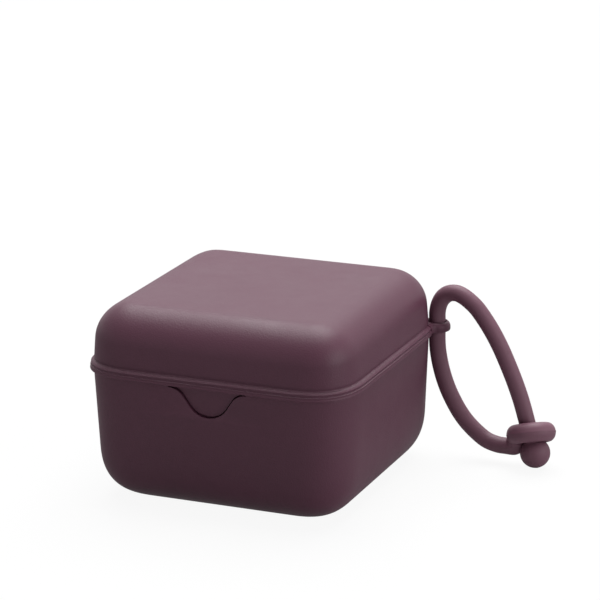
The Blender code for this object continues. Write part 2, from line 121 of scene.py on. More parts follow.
def softSquareTree():        # a profile of (inset, corner follow, height) lofted round a soft square
    tree, given, result = newTree("soft square loft", [
        ("Geometry", "NodeSocketGeometry"), ("Half Width", "NodeSocketFloat"),
        ("Corner Radius", "NodeSocketFloat"), ("Corner Power", "NodeSocketFloat"),
        ("Smallest Corner", "NodeSocketFloat"), ("Corner Steps", "NodeSocketInt"),
        ("Weld", "NodeSocketFloat"), ("Finish", "NodeSocketMaterial")])
    size = tree.nodes.new("GeometryNodeAttributeDomainSize")
    size.component = "MESH"
    tree.links.new(given["Geometry"], size.inputs["Geometry"])
    rows = size.outputs["Point Count"]
    steps = given["Corner Steps"]
    perQuarter = maths(tree, "ADD", steps, 1.0)
    columns = maths(tree, "MULTIPLY", perQuarter, 4.0)
    grid = node(tree, "GeometryNodeMeshGrid", "Mesh", verticesY=rows,
                verticesX=maths(tree, "ADD", columns, 1.0))

    index = tree.nodes.new("GeometryNodeInputIndex").outputs[0]
    row = maths(tree, "FLOORED_MODULO", index, rows)
    place = maths(tree, "FLOOR", maths(tree, "DIVIDE", maths(tree, "ADD", index, 0.5), rows))
    column = maths(tree, "FLOORED_MODULO", place, columns)
    quarter = maths(tree, "FLOOR", maths(tree, "DIVIDE", maths(tree, "ADD", column, 0.5), perQuarter))
    step = maths(tree, "SUBTRACT", column, maths(tree, "MULTIPLY", quarter, perQuarter))
    angle = maths(tree, "MULTIPLY", maths(tree, "DIVIDE", step, steps), math.pi / 2)

    sample = tree.nodes.new("GeometryNodeSampleIndex")
    sample.data_type = "FLOAT_VECTOR"
    tree.links.new(given["Geometry"], sample.inputs["Geometry"])
    tree.links.new(tree.nodes.new("GeometryNodeInputPosition").outputs[0], live(sample.inputs, "Value"))
    tree.links.new(row, sample.inputs["Index"])
    parts = tree.nodes.new("ShaderNodeSeparateXYZ")
    tree.links.new(live(sample.outputs, "Value"), parts.inputs[0])
    inset, follow, height = parts.outputs

    half = maths(tree, "SUBTRACT", given["Half Width"], inset)
    corner = maths(tree, "SUBTRACT", given["Corner Radius"], maths(tree, "MULTIPLY", inset, follow))
    corner = maths(tree, "MINIMUM", maths(tree, "MAXIMUM", corner, given["Smallest Corner"]), half)
    flat = maths(tree, "SUBTRACT", half, corner)
    power = maths(tree, "DIVIDE", 2.0, given["Corner Power"])
    sides = []
    for wave in ("COSINE", "SINE"):
        share = maths(tree, "POWER", maths(tree, "MAXIMUM", maths(tree, wave, angle), 0.0), power)
        sides.append(maths(tree, "MULTIPLY_ADD", corner, share, flat))
    point = node(tree, "ShaderNodeCombineXYZ", "Vector", x=sides[0], y=sides[1], z=height)
    turn = tree.nodes.new("ShaderNodeVectorRotate")
    turn.rotation_type = "Z_AXIS"
    tree.links.new(point, turn.inputs["Vector"])
    tree.links.new(maths(tree, "MULTIPLY", quarter, math.pi / 2), turn.inputs["Angle"])

    shaped = node(tree, "GeometryNodeSetPosition", "Geometry", geometry=grid, position=turn.outputs[0])
    welded = node(tree, "GeometryNodeMergeByDistance", "Geometry", geometry=shaped, distance=given["Weld"])
    return endTree(tree, welded, given["Finish"], result)


def mouldedCordTree():       # a round cord along a line, with the mould's parting ridge on two sides
    tree, given, result = newTree("moulded cord", [
        ("Geometry", "NodeSocketGeometry"), ("Radius", "NodeSocketFloat"), ("Spacing", "NodeSocketFloat"),
        ("Sides", "NodeSocketInt"), ("Ridge", "NodeSocketFloat"), ("Ridge Reach", "NodeSocketFloat"),
        ("Finish", "NodeSocketMaterial")])
    line = node(tree, "GeometryNodeMeshToCurve", "Curve", mesh=given["Geometry"])
    even = tree.nodes.new("GeometryNodeResampleCurve")
    even.mode = "LENGTH"
    tree.links.new(line, even.inputs["Curve"])
    tree.links.new(given["Spacing"], even.inputs["Length"])
    ring = tree.nodes.new("GeometryNodeCurvePrimitiveCircle")
    ring.mode = "RADIUS"
    tree.links.new(given["Sides"], ring.inputs["Resolution"])
    tree.links.new(given["Radius"], live(ring.inputs, "Radius"))

    place = tree.nodes.new("GeometryNodeInputPosition").outputs[0]
    parts = tree.nodes.new("ShaderNodeSeparateXYZ")
    tree.links.new(place, parts.inputs[0])
    across = maths(tree, "DIVIDE", maths(tree, "ABSOLUTE", parts.outputs["Y"]), given["Ridge Reach"])
    crest = maths(tree, "SUBTRACT", 1.0, across)
    crest = maths(tree, "MULTIPLY", maths(tree, "MAXIMUM", crest, 0.0), given["Ridge"])
    growth = maths(tree, "ADD", 1.0, maths(tree, "DIVIDE", crest, given["Radius"]))
    grown = tree.nodes.new("ShaderNodeVectorMath")
    grown.operation = "SCALE"
    tree.links.new(place, grown.inputs[0])
    tree.links.new(growth, grown.inputs["Scale"])
    edge = node(tree, "GeometryNodeSetPosition", "Geometry", geometry=ring.outputs["Curve"],
                position=grown.outputs[0])
    swept = node(tree, "GeometryNodeCurveToMesh", "Mesh", curve=even.outputs[0], profileCurve=edge,
                 fillCaps=True)
    return endTree(tree, swept, given["Finish"], result)


# Small helpers for meshes

sharpFold = 38                                       # degrees from which a fold is shaded as an edge


def linkMesh(name, bm):
    bmesh.ops.recalc_face_normals(bm, faces=bm.faces)
    mesh = bpy.data.meshes.new(name)
    bm.to_mesh(mesh)
    bm.free()
    made = bpy.data.objects.new(name, mesh)
    bpy.context.scene.collection.objects.link(made)
    return made


def plainMesh(obj, weld=0.0):                        # what the modifiers make, as the object's own mesh
    bpy.context.view_layer.update()
    mesh = bpy.data.meshes.new_from_object(obj.evaluated_get(bpy.context.evaluated_depsgraph_get()))
    obj.modifiers.clear()
    bm = bmesh.new()
    bm.from_mesh(mesh)
    bmesh.ops.remove_doubles(bm, verts=bm.verts, dist=weld)
    bmesh.ops.recalc_face_normals(bm, faces=bm.faces)
    bm.to_mesh(mesh)
    bm.free()
    old, obj.data = obj.data, mesh
    bpy.data.meshes.remove(old)
    mesh.name = obj.name
    return obj


def throughTree(obj, tree, values, weld=1e-7):       # values by input name, set by the sockets' identifiers
    step = obj.modifiers.new(tree.name, "NODES")
    step.node_group = tree
    for item in tree.interface.items_tree:
        if item.in_out == "INPUT" and item.name in values:
            step[item.identifier] = values[item.name]
    obj.update_tag()
    return plainMesh(obj, weld)


def joined(obj, *tools):                             # each tool is (object, "UNION" or "DIFFERENCE")
    for tool, operation in tools:
        step = obj.modifiers.new(tool.name, "BOOLEAN")
        step.operation = operation
        step.solver = "EXACT"
        step.object = tool
    plainMesh(obj, 1e-7)
    for tool, operation in tools:
        bpy.data.objects.remove(tool, do_unlink=True)
    return obj


def lineMesh(name, points):
    mesh = bpy.data.meshes.new(name)
    mesh.from_pydata(points, [(i, i + 1) for i in range(len(points) - 1)], [])
    made = bpy.data.objects.new(name, mesh)
    bpy.context.scene.collection.objects.link(made)
    return made


def skinned(name, outlines):                         # closed skin through outlines of equal point counts
    bm = bmesh.new()
    rings = [[bm.verts.new(p) for p in outline] for outline in outlines]
    count = len(rings[0])
    for low, high in zip(rings, rings[1:]):
        for i in range(count):
            j = (i + 1) % count
            bm.faces.new((low[i], low[j], high[j], high[i]))
    bm.faces.new(reversed(rings[0]))
    bm.faces.new(rings[-1])
    return linkMesh(name, bm)


def turned(name, profile, place, axis, sides):       # lathe work: profile of (along the axis, radius)
    turn = Vector((0, 0, 1)).rotation_difference(axis).to_matrix()
    outlines = []
    for along, radius in profile:
        ring = []
        for i in range(sides):
            angle = 2 * math.pi * i / sides
            ring.append(place + turn @ Vector((radius * math.cos(angle), radius * math.sin(angle), along)))
        outlines.append(ring)
    return skinned(name, outlines)


def webPlate(name, outline, start, end, edge):       # outline in (y, z) pushed along X, with soft end edges
    bm = bmesh.new()
    face = bm.faces.new([bm.verts.new((start, y, z)) for y, z in outline])
    grown = bmesh.ops.extrude_face_region(bm, geom=[face], use_keep_orig=True)
    moved = [v for v in grown["geom"] if isinstance(v, bmesh.types.BMVert)]
    bmesh.ops.translate(bm, verts=moved, vec=(end - start, 0, 0))
    rims = [e for e in bm.edges if abs(e.verts[0].co.x - e.verts[1].co.x) < 1e-6]
    bmesh.ops.bevel(bm, geom=rims, offset=edge, segments=2, profile=0.5, affect="EDGES", clamp_overlap=True)
    return linkMesh(name, bm)


def blockBetween(name, low, high):
    low, high = Vector(low) * mm, Vector(high) * mm
    corners = [(low.x, low.y), (high.x, low.y), (high.x, high.y), (low.x, high.y)]
    return skinned(name, [[(x, y, z) for x, y in corners] for z in (low.z, high.z)])


def dressed(obj, finish, body, slot, *nodes):        # material, shading, what it rides on and replaces
    mesh = obj.data
    mesh.materials.clear()
    mesh.materials.append(finish)
    mesh.polygons.foreach_set("material_index", [0] * len(mesh.polygons))
    mesh.shade_smooth()
    mesh.set_sharp_from_angle(angle=math.radians(sharpFold))
    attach(obj, body)
    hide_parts(*nodes)
    print("made", obj.name, len(mesh.polygons), "faces")
    return obj


# Finishes

plumPlastic = {
    "colour": (0.084, 0.027, 0.048),
    "specular": 0.33,
    "drift": 0.04,                    # how far the colour wanders over the moulding, as a share
    "roughness": (0.42, 0.50),
    "clouds": 38.0,                   # mm across the patches where the colour wanders
    "patches": 14.0,                  # and where the gloss does
    "grain": 0.50,                    # mm across one grain of the satin surface
    "grainDepth": 0.065,              # mm
    "flow": 9.0,                      # mm across the faint waves left by the mould
    "flowDepth": 0.006,
}
plumSilicone = {
    "colour": (0.140, 0.060, 0.088),
    "specular": 0.38,
    "drift": 0.06,
    "roughness": (0.48, 0.58),
    "clouds": 38.0,
    "patches": 14.0,
    "grain": 0.22,
    "grainDepth": 0.007,
    "flow": 5.0,
    "flowDepth": 0.010,
}


def mouldedFinish(name, v):
    made = bpy.data.materials.new(name)
    made.use_nodes = True
    tree = made.node_tree
    shader = tree.nodes["Principled BSDF"]
    shader.inputs["Metallic"].default_value = 0.0
    shader.inputs["IOR"].default_value = 1.47
    shader.inputs["Specular IOR Level"].default_value = v["specular"]
    space = node(tree, "ShaderNodeTexCoord", "Object")

    def noise(size, detail):                         # size in mm
        return node(tree, "ShaderNodeTexNoise", "Fac", vector=space, scale=1 / (size * mm), detail=detail,
                    roughness=0.55)

    def spread(value, low, high):                    # noise lies mostly between 0.3 and 0.7
        return node(tree, "ShaderNodeMapRange", "Result", value=value, fromMin=0.3, fromMax=0.7,
                    toMin=low, toMax=high)

    cloud = maths(tree, "MULTIPLY_ADD", noise(v["grain"] * 2.5, 2.0), 0.35, noise(v["clouds"], 3.0))
    mix = tree.nodes.new("ShaderNodeMix")
    mix.data_type = "RGBA"
    tree.links.new(spread(cloud, -0.15, 0.85), mix.inputs["Factor"])
    for socket, share in zip([s for s in mix.inputs if s.type == "RGBA"], (1 - v["drift"], 1 + v["drift"])):
        socket.default_value = (*(c * share for c in v["colour"]), 1)
    tree.links.new([s for s in mix.outputs if s.type == "RGBA"][0], shader.inputs["Base Color"])
    tree.links.new(spread(noise(v["patches"], 4.0), *v["roughness"]), shader.inputs["Roughness"])

    wave = node(tree, "ShaderNodeBump", "Normal", strength=1.0, distance=v["flowDepth"] * mm,
                height=noise(v["flow"], 1.0))
    grain = node(tree, "ShaderNodeBump", "Normal", strength=1.0, distance=v["grainDepth"] * mm,
                 height=noise(v["grain"], 3.0), normal=wave)
    tree.links.new(grain, shader.inputs["Normal"])
    return made


shellFinish = mouldedFinish("satin plum polypropylene", plumPlastic)
strapFinish = mouldedFinish("matt plum silicone", plumSilicone)
loftTree = softSquareTree()
cordTree = mouldedCordTree()
print("finishes and node trees made")

# The strap: one silicone moulding, a cord with a ring at one end and a ball at the other.
# Routes give (reach from the eyelet's axis, height) in mm, in the upright plane that the strap lies in.
strap = {
    "eyelet": (45.3, 39.2),
    "heading": -3.7,                  # degrees
    "radius": 2.75,
    "holeHeight": 44.3,               # middle of the eyelet's hole
    "toRing": [
        (26.0, 6.0), (24.4, 5.98), (21.8, 6.05), (18.0, 7.0), (14.5, 9.2), (11.0, 12.2), (8.2, 15.5),
        (5.8, 19.3), (3.8, 23.2), (2.2, 27.4), (1.0, 31.8), (0.25, 36.0), (0.0, 39.5), (0.0, 42.5)],
    "toBall": [
        (0.0, 46.5), (0.0, 49.0), (0.6, 51.8), (1.9, 54.2), (4.0, 55.9), (6.6, 56.4), (8.9, 55.8),
        (11.6, 54.2), (14.7, 51.5), (18.9, 46.0), (22.4, 40.2), (25.3, 34.3), (27.9, 28.4),
        (30.2, 22.3), (32.0, 16.4)],
    "ball": (35.3, 5.1),
    "ballRadius": 5.0,
    "ballNeck": 1.6,                  # the flare where the cord runs into the ball
    "ringAbove": 6.75,                # from the ball's centre up the cord to the ring's
    "ringAside": (0.35, 0.10, 0.0),   # and how far it lies off the cord's line
    "ringAxis": (-0.227, 0.339, 0.913),
    "ringRadius": 8.15,
    "ringHole": 2.8,
    "ringHeight": 6.4,
    "ringNeck": [                     # reach, height, radius
        (23.6, 6.0, 2.5), (24.6, 5.98, 2.66), (25.8, 6.0, 2.78), (26.9, 6.1, 2.88), (28.0, 6.35, 2.95),
        (29.0, 6.8, 2.8)],
    "ringLobe": (28.5, 8.3, 3.1),     # the swelling where the neck turns up into the ring
    "ringSlack": 0.04,                # between the ring and the cord and ball that it is stretched over
    "ringFineness": 0.2,
    "ringBlend": 12,                  # rounds of smoothing where the neck runs into the ring
    "cordRidge": (0.05, 0.30556),     # the mould's parting ridges: height, reach to the side
    "ringRidge": (0.08, 0.28),
    "ballRidge": (0.05, 0.22),
}


def strapPoint(reach, height):
    turn = math.radians(strap["heading"])
    x, y = strap["eyelet"]
    return Vector((x + reach * math.cos(turn), y + reach * math.sin(turn), height)) * mm


def smoothRoute(route, perSpan=6):
    ends = [route[0]] + list(route) + [route[-1]]
    line = []
    for a, b, c, d in zip(ends, ends[1:], ends[2:], ends[3:]):
        for k in range(perSpan):
            t = k / perSpan
            line.append(tuple(0.5 * (2 * q + (r - p) * t + (2 * p - 5 * q + 4 * r - s) * t * t
                                     + (3 * q - p - 3 * r + s) * t ** 3) for p, q, r, s in zip(a, b, c, d)))
    return line + [route[-1]]


def lengthOf(points):
    return sum((b - a).length for a, b in zip(points, points[1:]))


def makeCord(name, points):
    obj = lineMesh(name, points)
    ridge, reach = strap["cordRidge"]
    throughTree(obj, cordTree, {"Radius": strap["radius"] * mm, "Spacing": 0.45 * mm, "Sides": 72,
                                "Ridge": ridge * mm, "Ridge Reach": reach * mm, "Finish": strapFinish})
    return dressed(obj, strapFinish, "strap", "strap_silicone", "strap_cord")


ballCentre = strapPoint(*strap["ball"])
lastBend = strapPoint(*strap["toBall"][-1])
down = (ballCentre - lastBend).normalized()
ballNeck = math.sqrt(strap["ballRadius"] ** 2 - strap["radius"] ** 2) * mm

flatLine = smoothRoute(strap["toRing"] + [(0.0, strap["holeHeight"])] + strap["toBall"])
split = flatLine.index((0.0, strap["holeHeight"]))
lowerLine = [strapPoint(*p) for p in reversed(flatLine[:split + 1])]
upperLine = [strapPoint(*p) for p in flatLine[split:]] + [ballCentre - down * ballNeck]
lowerRun = makeCord("strapLowerRun", lowerLine)
upperRun = makeCord("strapUpperRun", upperLine)


def ballProfile(v):          # points (along from the ball's centre, radius), with the flare into the cord
    radius, cord, flare = v["ballRadius"], v["radius"], v["ballNeck"]
    start = math.sqrt((radius + flare) ** 2 - (cord + flare) ** 2)
    meet = math.atan2(cord + flare, start)
    flareSteps, ballSteps = 12, 60
    profile = [(-start - 0.02, cord - 0.01)]         # just inside the cord
    for k in range(flareSteps + 1):
        angle = (math.pi / 2 - meet) * k / flareSteps
        profile.append((-start + flare * math.sin(angle), cord + flare - flare * math.cos(angle)))
    for k in range(1, ballSteps + 1):
        angle = meet + (math.pi - meet) * k / ballSteps
        profile.append((-radius * math.cos(angle), max(radius * math.sin(angle), 0.01)))
    return [(along * mm, r * mm) for along, r in profile]


def radiusAt(profile, along):
    if along <= profile[0][0]:
        return strap["radius"] * mm
    for (a, p), (b, q) in zip(profile, profile[1:]):
        if a <= along < b:
            return p + (q - p) * (along - a) / (b - a)
    return 0.0


def sweptSkin(name, stations, sides):                # rings of given (point, radius) square to their line
    outlines = []
    points = [point for point, radius in stations]
    for i, (point, radius) in enumerate(stations):
        along = (points[min(i + 1, len(points) - 1)] - points[max(i - 1, 0)]).normalized()
        first = along.cross(Vector((0, 1, 0))).normalized()
        second = along.cross(first)
        angles = [2 * math.pi * k / sides for k in range(sides)]
        outlines.append([point + radius * (first * math.cos(a) + second * math.sin(a)) for a in angles])
    return skinned(name, outlines)


def makeRing(v):             # a thick eye on the cord's end, stretched over the cord and the ball
    hole, outside, height = v["ringHole"] * mm, v["ringRadius"] * mm, v["ringHeight"] * mm
    middle, thick = (hole + outside) / 2, (outside - hole) / 2
    centre = ballCentre - down * v["ringAbove"] * mm + Vector(v["ringAside"]) * mm
    axis = Vector(v["ringAxis"]).normalized()
    turn = axis.to_track_quat("Z", "Y").to_matrix()
    around, across = 96, 40
    bm = bmesh.new()
    rings = []
    for i in range(around):
        a = 2 * math.pi * i / around
        rings.append([])
        for k in range(across):
            b = 2 * math.pi * k / across
            radius = middle + thick * math.cos(b)
            local = Vector((radius * math.cos(a), radius * math.sin(a), height / 2 * math.sin(b)))
            rings[-1].append(bm.verts.new(centre + turn @ local))
    for i in range(around):
        for k in range(across):
            j, m = (i + 1) % around, (k + 1) % across
            bm.faces.new((rings[i][k], rings[j][k], rings[j][m], rings[i][m]))
    ring = linkMesh("strapRing", bm)
    neck = smoothRoute(v["ringNeck"])
    stations = [(strapPoint(reach, z), radius * mm) for reach, z, radius in neck]
    lead = (stations[-1][0] - stations[-2][0]).normalized()
    reach, last = stations[-1]
    endSteps, lobeSteps, sides = 8, 24, 48
    for k in range(1, endSteps + 1):                 # the neck's round end
        angle = math.pi / 2 * k / endSteps
        stations.append((reach + lead * last * math.sin(angle), max(last * math.cos(angle), 0.02 * mm)))
    stub = sweptSkin("ring neck", stations, sides)
    reach, z, size = v["ringLobe"]
    angles = [math.pi * k / lobeSteps for k in range(lobeSteps + 1)]
    bulge = [(-size * math.cos(a) * mm, max(size * math.sin(a), 0.02) * mm) for a in angles]
    lobe = turned("ring lobe", bulge, strapPoint(reach, z), Vector((0, 0, 1)), sides)
    whole = bmesh.new()
    for piece in (ring, stub, lobe):
        whole.from_mesh(piece.data)
    whole.to_mesh(ring.data)
    whole.free()
    for piece in (stub, lobe):
        bpy.data.objects.remove(piece, do_unlink=True)
    voxels = ring.modifiers.new("even faces", "REMESH")
    voxels.mode = "VOXEL"
    voxels.voxel_size = v["ringFineness"] * mm
    blendIn = ring.modifiers.new("blend the neck in", "SMOOTH")
    blendIn.factor = 0.5
    blendIn.iterations = v["ringBlend"]
    plainMesh(ring)
    profile = ballProfile(v)
    ridge, reach = (size * mm for size in v["ringRidge"])
    for vertex in ring.data.vertices:
        away = vertex.co - centre                    # the mould's parting ridge round the eye
        along = away.dot(axis)
        flatAway = away - axis * along
        if flatAway.length > middle:
            vertex.co += flatAway.normalized() * ridge * math.exp(-(along / reach) ** 2)
        off = vertex.co - ballCentre                 # nothing of the ring lies inside the cord or the ball
        along = off.dot(down)
        off -= down * along
        least = radiusAt(profile, along) + v["ringSlack"] * mm
        if 0 < off.length < least:
            vertex.co += off.normalized() * (least - off.length)
    return ring


def makeBall(v):
    ball = turned("strapBall", ballProfile(v), ballCentre, down, 96)
    side = down.cross(Vector((0, 1, 0))).normalized()
    ridge, reach = (size * mm for size in v["ballRidge"])
    for vertex in ball.data.vertices:
        off = (vertex.co - ballCentre).dot(side)
        out = (vertex.co - ballCentre).normalized()
        vertex.co += out * ridge * math.exp(-(off / reach) ** 2)
    return ball


strapRing = dressed(makeRing(strap), strapFinish, "strap", "strap_silicone", "strap_ring")
strapBall = dressed(makeBall(strap), strapFinish, "strap", "strap_silicone", "strap_ball")
print("strap laid:", round(lengthOf(lowerLine) / mm), "mm and", round(lengthOf(upperLine) / mm), "mm")

# The plan and the hinge line that both shells share, in mm
plan = {
    "halfWidth": 45.0,
    "cornerRadius": 20.6,
    "cornerPower": 2.9,
    "smallestCorner": 1.0,
    "cornerSteps": 36,
    "cornerFade": 0.7,                # how soon the corners soften towards the middle of a flat face
    "top": 64.3,
    "tubRim": 42.65,                  # both edges of the seam, which the lid's band overhangs
    "lidFoot": 42.95,
    "wall": 1.8,
}
hinge = {
    "y": 47.5,
    "z": 38.3,
    "radius": 2.2,
    "bore": 1.3,
    "pin": 1.0,
    "lidKnuckle": 12.0,               # half its width
    "tubKnuckle": (12.3, 18.3),
    "edge": 0.25,
    "webWrap": 0.97,                  # how far round the knuckles the webs reach, as a share of the radius
    "pinEnd": [(0.0, 0.3), (0.08, 0.62), (0.25, 0.86), (0.5, 1.0)],   # mm from the end, share of the radius
}
tubWeb = {
    "inWall": (43.9, 43.3),           # its two corners inside the rear wall, above and below
    "rise": 1.1,                      # above the hinge's axis
    "drop": 3.6,                      # below it
    "hollow": (1.1, -0.1, 1.0),       # beyond the wall, above the web's foot, radius
}
lidWeb = {
    "inWall": 0.9,
    "outWall": 0.3,
    "rise": 2.2,
    "shoulder": (1.6, 0.9, 1.5),      # in from the knuckle's face, above the lid's foot, radius
}


def loftShell(name, profile):
    rows = lineMesh(name, [(inset * mm, follow, z * mm) for inset, follow, z in profile])
    return throughTree(rows, loftTree, {
        "Half Width": plan["halfWidth"] * mm, "Corner Radius": plan["cornerRadius"] * mm,
        "Corner Power": plan["cornerPower"], "Smallest Corner": plan["smallestCorner"] * mm,
        "Corner Steps": plan["cornerSteps"], "Weld": 0.002 * mm, "Finish": shellFinish})


def onHinge(name, profile, sides=72):                # profile of (x, radius) in mm
    place = Vector((0, hinge["y"], hinge["z"])) * mm
    return turned(name, [(x * mm, r * mm) for x, r in profile], place, Vector((1, 0, 0)), sides)


def knuckle(name, start, end):
    r, e = hinge["radius"], hinge["edge"]
    return onHinge(name, [(start, r - e), (start + e * 0.3, r - e * 0.3), (start + e, r),
                          (end - e, r), (end - e * 0.3, r - e * 0.3), (end, r - e)])


def bore(name, reach):
    return onHinge(name, [(-reach, hinge["bore"]), (reach, hinge["bore"])])


def arc(centre, radius, start, end, count):          # angles in degrees
    return [(centre[0] + radius * math.cos(math.radians(start + (end - start) * k / count)),
             centre[1] + radius * math.sin(math.radians(start + (end - start) * k / count)))
            for k in range(count + 1)]


# Tub: wall line, rounded foot, bell-shaped notch, snap ridge and two hinge knuckles
tubShape = {
    "draft": 1.84,
    "roundIn": 15.2,
    "roundUp": 16.9,
    "roundPower": 2.5,
    "follow": 0.9,
    "roundSteps": 30,
    "rows": (22, 27, 32, 37),         # heights of the wall's rows between the rounding and the rim
    "rimRound": 0.12,
    "roundAngles": (0, 22, 45, 67, 90),
    "gate": 1.6,                      # half width of the dimple that the mould's gate leaves underneath
    "gateDepth": 0.25,
}
bell = {
    "halfSpan": 13.3,
    "footHeight": 33.5,
    "footRadius": 7.6,
    "shoulderHeight": 36.5,           # of the shoulder curve's centre
    "shoulderRadius": 6.0,
    "slit": 0.34,
    "recess": 0.8,
    "thickness": 1.5,
    "edge": 0.12,                     # soft edges along the slit
    "steps": 24,
    "wingShare": 0.998,               # how far round the shoulder the tongue's wings go
    "legHalf": 4.5,
    "legClear": 0.75,                 # from the wall's back to the leg
    "legSpan": (2.8, 2.6),            # below and above the slit's height
    "legKnee": (-0.3, 0.45),
    "legThick": 1.1,
    "legCorner": 0.3,
    "nose": [(0.0, 0.9), (-0.14, 0.7), (-0.2, 0.45), (-0.14, 0.2)],   # from the leg's front, above its foot
    "ridgeBelow": 0.5,                # from the slit down to the snap ridge's top
    "ridge": [(-0.9, -0.7), (0.0, -0.7), (0.2, -0.6), (0.3, -0.35), (0.2, -0.1), (0.0, 0.0), (-0.9, 0.0)],
    "ridgeEdge": 0.1,
}


def tubInset(z):
    return tubShape["draft"] * (plan["tubRim"] - z) / plan["tubRim"]


def tubWall(skin, floor):                            # from the floor up to the end of the rounding
    t = tubShape
    inward, upward = t["roundIn"] - skin, t["roundUp"] - floor
    line = []
    for k in range(t["roundSteps"] + 1):
        z = floor + upward * (1 - math.cos(math.pi / 2 * k / t["roundSteps"]))
        share = (floor + upward - z) / upward
        inset = skin + tubInset(z) + inward * (1 - (1 - share ** t["roundPower"]) ** (1 / t["roundPower"]))
        line.append((inset, t["follow"], z))
    return line


def flatDisc(start, follow, z, count=6, crown=0.0):  # rings from an inset in to the centre
    half = plan["halfWidth"]
    reach = half - start
    corner = max(plan["cornerRadius"] - start * follow, plan["smallestCorner"])
    line = []
    for k in range(1, count + 1):
        t = 1 - k / count
        size = reach * t
        soft = size * (corner / reach + (1 - corner / reach) * (1 - t) ** plan["cornerFade"])
        inset = half - size
        line.append((inset, (plan["cornerRadius"] - soft) / inset, z + crown * (1 - t * t) ** 2))
    return line


def makeTub():
    t, p = tubShape, plan
    rim, r = p["tubRim"], tubShape["rimRound"]
    inner = tubWall(p["wall"], p["wall"])
    outer = tubWall(0.0, 0.0)
    profile = list(reversed(flatDisc(inner[0][0], t["follow"], p["wall"])))
    profile += inner
    rows = (*t["rows"], rim - 1)
    bends = [(r * math.cos(math.radians(a)), rim - r + r * math.sin(math.radians(a)))
             for a in t["roundAngles"]]
    profile += [(p["wall"] + tubInset(z), t["follow"], z) for z in rows]
    profile += [(p["wall"] - r + across, t["follow"], z) for across, z in bends]
    profile += [(r - across, t["follow"], z) for across, z in reversed(bends)]
    profile += [(tubInset(z), t["follow"], z) for z in reversed(rows)]
    profile += list(reversed(outer))
    under = flatDisc(outer[0][0], t["follow"], 0.0)[:-1]
    for size, depth in ((1.0, 0.0), (0.93, 0.8), (0.8, 1.0), (0.0, 1.0)):
        size *= t["gate"]
        inset = p["halfWidth"] - size
        under.append((inset, (p["cornerRadius"] - size) / inset, depth * t["gateDepth"]))
    profile += under
    tub = loftShell("tubShell", profile)

    tools = []
    wallEdge = p["halfWidth"] - tubInset(hinge["z"])
    for side, label in ((-1, "left"), (1, "right")):
        start, end = sorted(side * x for x in hinge["tubKnuckle"])
        low, high = hinge["z"] - tubWeb["drop"], hinge["z"] + tubWeb["rise"]
        out, up, hollow = tubWeb["hollow"]
        web = [(tubWeb["inWall"][0], high), (tubWeb["inWall"][1], low), (wallEdge - 0.1, low)]
        web += arc((wallEdge + out, low + up), hollow, 165, 95, 5)
        web += arc((hinge["y"], hinge["z"]), hinge["radius"] * hinge["webWrap"], -50, 60, 10)
        web += [(wallEdge, high)]
        tools.append((webPlate(label + " tub web", [(y * mm, z * mm) for y, z in web],
                               start * mm, end * mm, hinge["edge"] * mm), "UNION"))
        tools.append((knuckle(label + " tub knuckle", start, end), "UNION"))
    slitZ = bell["footHeight"]
    back = tubInset(slitZ) - p["halfWidth"] + p["wall"]
    top = slitZ - bell["slit"] / 2 - bell["ridgeBelow"]
    tools.append((webPlate("snap ridge", [((back + y) * mm, (top + z) * mm) for y, z in bell["ridge"]],
                           -bell["legHalf"] * mm, bell["legHalf"] * mm, bell["ridgeEdge"] * mm), "UNION"))
    e = bell["edge"]
    notch = [(-1.5, e * 1.5), (-0.02, e), (e * 0.1, e * 0.62), (e * 0.38, e * 0.28), (e, 0.0), (5.0, 0.0)]
    tools.append((bellLoft("tongue notch", notch, 1, p["tubRim"] + 1.0), "DIFFERENCE"))
    tools.append((bore("tub pin bore", 20.0), "DIFFERENCE"))
    return joined(tub, *tools)


def bellOutline(offset, top, share):                 # points (x, z) of the slit's bell, moved out by offset
    b = bell
    foot = Vector((0, b["footHeight"] + b["footRadius"]))
    shoulder = Vector((b["halfSpan"], b["shoulderHeight"]))
    footRadius, shoulderRadius = b["footRadius"] + offset, b["shoulderRadius"] - offset
    between = shoulder - foot
    turn = math.acos((footRadius + shoulderRadius) / between.length)
    leave = math.atan2(between.y, between.x) - turn
    n = b["steps"]
    side = []
    for k in range(n + 1):
        angle = -math.pi / 2 + (leave + math.pi / 2) * k / n
        side.append(foot + footRadius * Vector((math.cos(angle), math.sin(angle))))
    finish = math.pi - math.asin(min((top - shoulder.y) / shoulderRadius, share))
    for k in range(n + 1):
        angle = leave + math.pi + (finish - leave - math.pi) * k / n
        side.append(shoulder + shoulderRadius * Vector((math.cos(angle), math.sin(angle))))
    del side[n]
    side.append(Vector((side[-1].x, top)))
    return [(-q.x, q.y) for q in reversed(side[1:])] + [(q.x, q.y) for q in side]


def bellLoft(name, depths, sign, top, share=1.0):    # depths: (behind the wall's face, bell grown by)
    outlines = []
    for depth, grown in depths:
        outline = bellOutline(sign * bell["slit"] / 2 + grown, top, share)
        outlines.append([(x * mm, (depth + tubInset(z) - plan["halfWidth"]) * mm, z * mm)
                         for x, z in outline])
    return skinned(name, outlines)


tubShell = dressed(makeTub(), shellFinish, "tub", "shell_plastic", "base_tub")


# Press tongue: the bell cut from the wall's own shape, with the snap's leg and nose behind it

